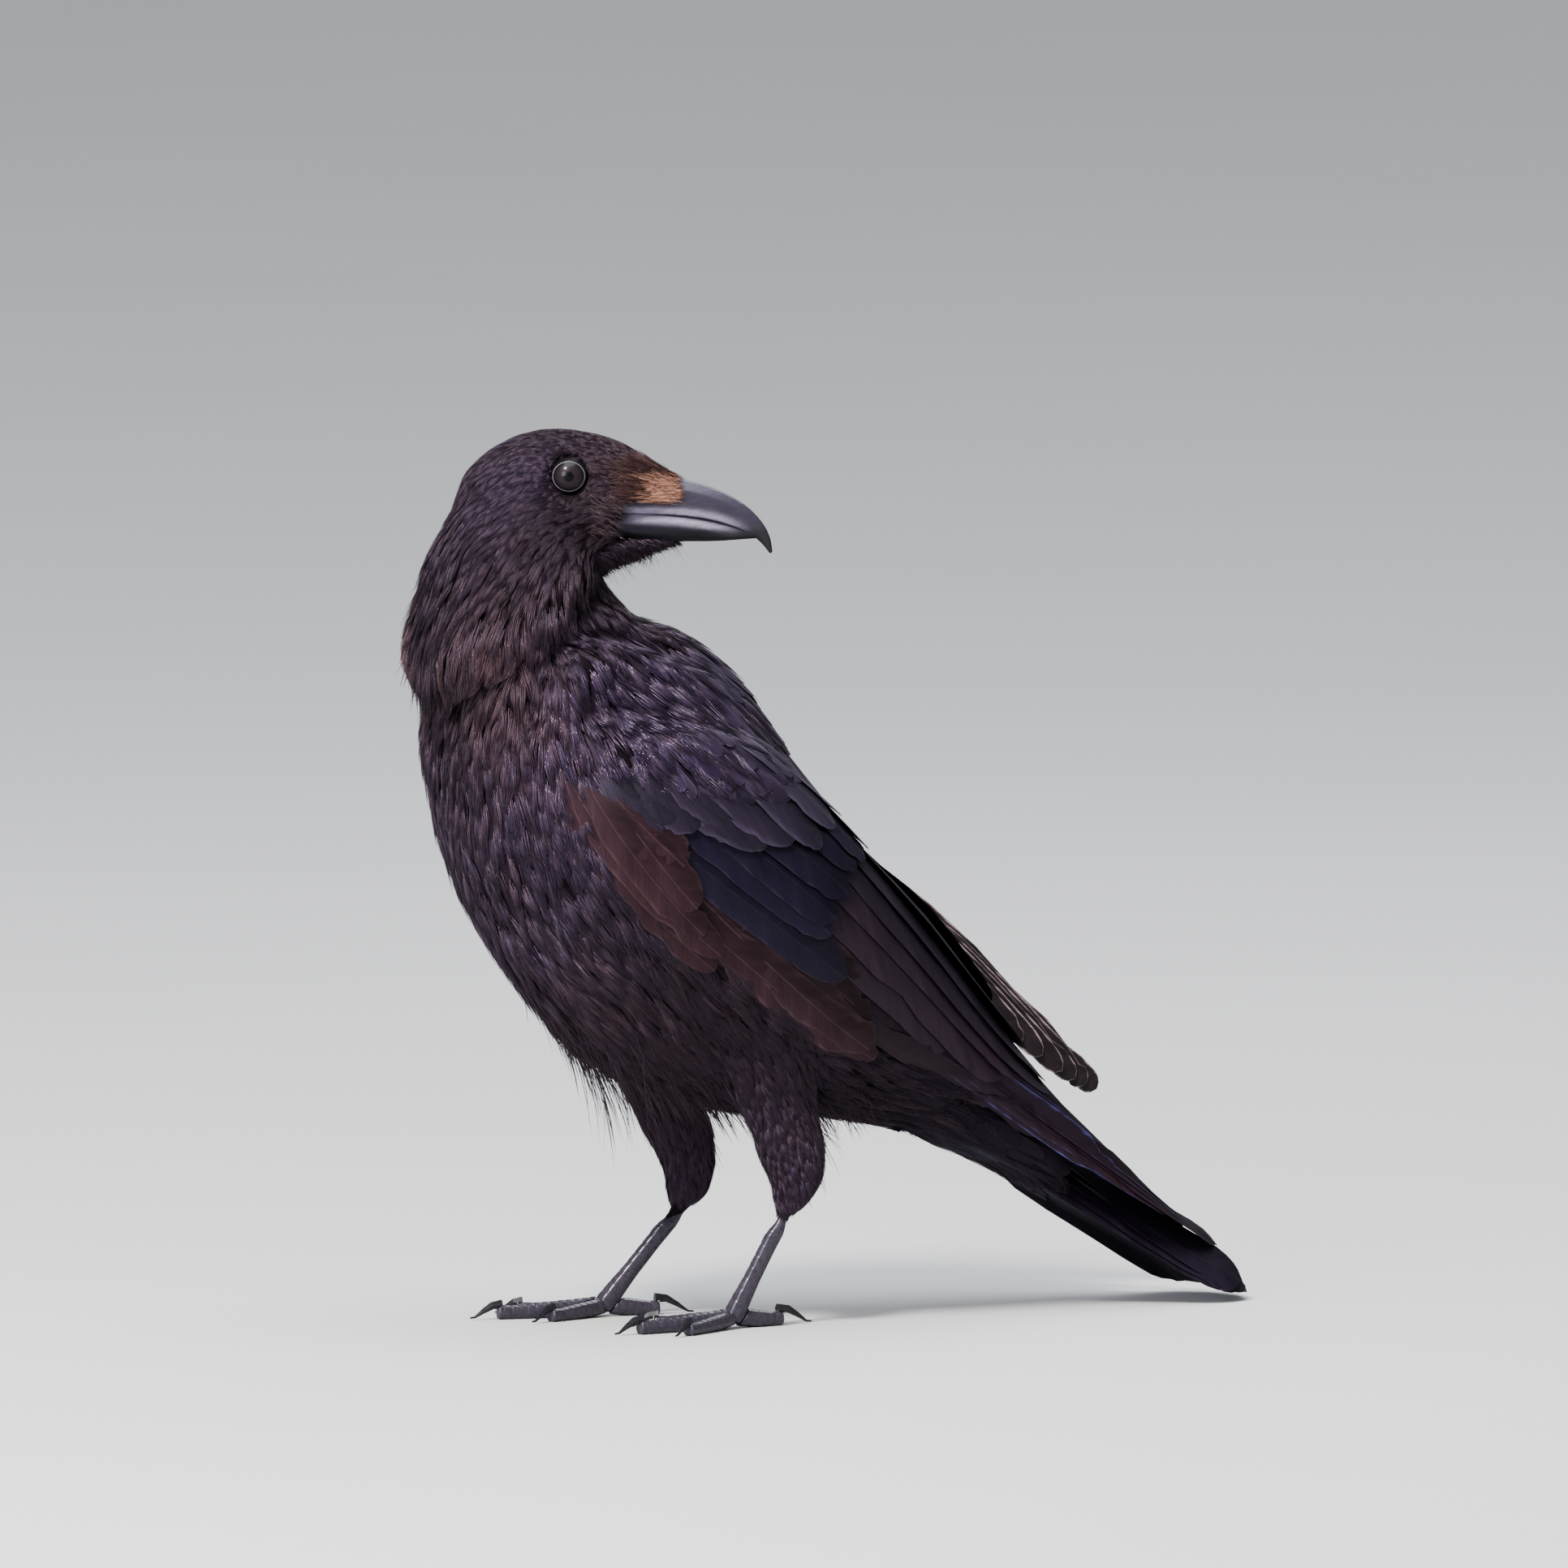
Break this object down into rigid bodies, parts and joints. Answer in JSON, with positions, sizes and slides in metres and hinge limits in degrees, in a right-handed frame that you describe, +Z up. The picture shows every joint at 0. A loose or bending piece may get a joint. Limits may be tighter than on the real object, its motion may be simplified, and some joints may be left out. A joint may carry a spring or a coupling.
{
  "type": "crow, life-size still model",
  "caption": "Life-size standing crow with folded wings, head turned back over the left shoulder and tail tip on the floor, as a still museum-type model.",
  "frame": {"origin": "on the floor, under the middle of the whole bird's bounding box", "axes": "+Z up, -X the way the body faces, +X towards the tail, -Y the bird's left side, which the bill is turned to"},
  "size_m": [0.3116, 0.1282, 0.3047],
  "materials": {
    "plumage": "silky black with a purple and blue sheen",
    "flight_feathers": "glossy blue-black, older feathers worn brown",
    "horn": "satin slate-black horn",
    "eye": "wet dark brown",
    "leg_scales": "black scutes, slightly glossy"
  },
  "bodies": {
    "root": {"eye_left": "eye", "eye_right": "eye", "bill_upper": "horn", "bill_lower": "horn", "head": "plumage", "trunk": "plumage", "neck": "plumage", "wing_left": "flight_feathers", "primaries_left": "flight_feathers", "wing_right": "flight_feathers", "primaries_right": "flight_feathers", "tertials_right": "flight_feathers", "tail": "flight_feathers", "thigh_right": "plumage", "tarsus_right": "leg_scales", "toe_inner_right": "leg_scales", "toe_middle_right": "leg_scales", "toe_outer_right": "leg_scales", "toe_hind_right": "leg_scales", "claw_inner_right": "horn", "claw_middle_right": "horn", "claw_outer_right": "horn", "claw_hind_right": "horn", "thigh_left": "plumage", "tarsus_left": "leg_scales", "toe_inner_left": "leg_scales", "toe_middle_left": "leg_scales", "toe_outer_left": "leg_scales", "toe_hind_left": "leg_scales", "claw_inner_left": "horn", "claw_middle_left": "horn", "claw_outer_left": "horn", "claw_hind_left": "horn"}
  },
  "joints": []
}
